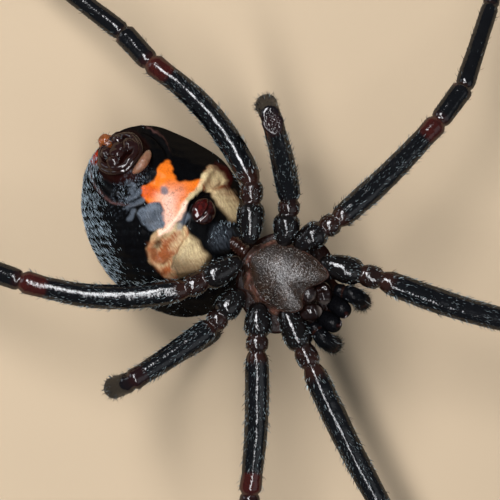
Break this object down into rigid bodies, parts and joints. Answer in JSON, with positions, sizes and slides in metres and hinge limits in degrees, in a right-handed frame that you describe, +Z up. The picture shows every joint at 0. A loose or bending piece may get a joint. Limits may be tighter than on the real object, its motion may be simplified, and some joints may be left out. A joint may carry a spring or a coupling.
{
  "type": "east coast button spider",
  "caption": "Life-size still model of a female button spider on its back, globose black abdomen with an orange belly mark, slim black legs spread wide.",
  "frame": {"origin": "on the floor below the middle of the bounding box", "axes": "+Z up, towards the spider's underside; -Y towards its head; +X towards its own right side"},
  "size_m": [0.0308, 0.0438, 0.0073],
  "materials": {
    "abdomen_skin": "soft black skin with fine short hairs, glossy in the folds, orange and cream below",
    "body_cuticle": "dark brown-black shell, satin, with pale fine hairs",
    "leg_cuticle": "glossy black shell with fine grey hairs",
    "joint_cuticle": "red-brown glossy shell and soft joint skin",
    "spinneret_cuticle": "wet-looking dark red-brown",
    "tubercle_cuticle": "glossy orange-brown",
    "eye_lens": "polished near-black lens",
    "bristle": "fine dark and grey hairs"
  },
  "bodies": {
    "root": {"abdomen": "abdomen_skin", "spinnerets": "spinneret_cuticle", "anal_tubercle": "tubercle_cuticle", "pedicel": "joint_cuticle", "carapace": "body_cuticle", "sternum": "body_cuticle", "maxilla_r": "joint_cuticle", "chelicera_r": "body_cuticle", "palp_r": "leg_cuticle", "maxilla_l": "joint_cuticle", "chelicera_l": "body_cuticle", "palp_l": "leg_cuticle", "leg_r1_coxa": "joint_cuticle", "leg_r1_femur": "leg_cuticle", "leg_r1_patella": "joint_cuticle", "leg_r1_tibia": "leg_cuticle", "leg_r1_foot": "leg_cuticle", "leg_r2_coxa": "joint_cuticle", "leg_r2_femur": "leg_cuticle", "leg_r2_patella": "joint_cuticle", "leg_r2_tibia": "leg_cuticle", "leg_r2_foot": "leg_cuticle", "leg_r3_coxa": "joint_cuticle", "leg_r3_femur": "leg_cuticle", "leg_r3_patella": "joint_cuticle", "leg_r3_tibia": "leg_cuticle", "leg_r3_foot": "leg_cuticle", "leg_r4_coxa": "joint_cuticle", "leg_r4_femur": "leg_cuticle", "leg_r4_patella": "joint_cuticle", "leg_r4_tibia": "leg_cuticle", "leg_r4_foot": "leg_cuticle", "leg_l1_coxa": "joint_cuticle", "leg_l1_femur": "leg_cuticle", "leg_l1_patella": "joint_cuticle", "leg_l1_tibia": "leg_cuticle", "leg_l1_foot": "leg_cuticle", "leg_l2_coxa": "joint_cuticle", "leg_l2_femur": "leg_cuticle", "leg_l2_patella": "joint_cuticle", "leg_l2_tibia": "leg_cuticle", "leg_l2_foot": "leg_cuticle", "leg_l3_coxa": "joint_cuticle", "leg_l3_femur": "leg_cuticle", "leg_l3_patella": "joint_cuticle", "leg_l3_tibia": "leg_cuticle", "leg_l3_foot": "leg_cuticle", "leg_l4_coxa": "joint_cuticle", "leg_l4_femur": "leg_cuticle", "leg_l4_patella": "joint_cuticle", "leg_l4_tibia": "leg_cuticle", "leg_l4_foot": "leg_cuticle"}
  },
  "joints": []
}
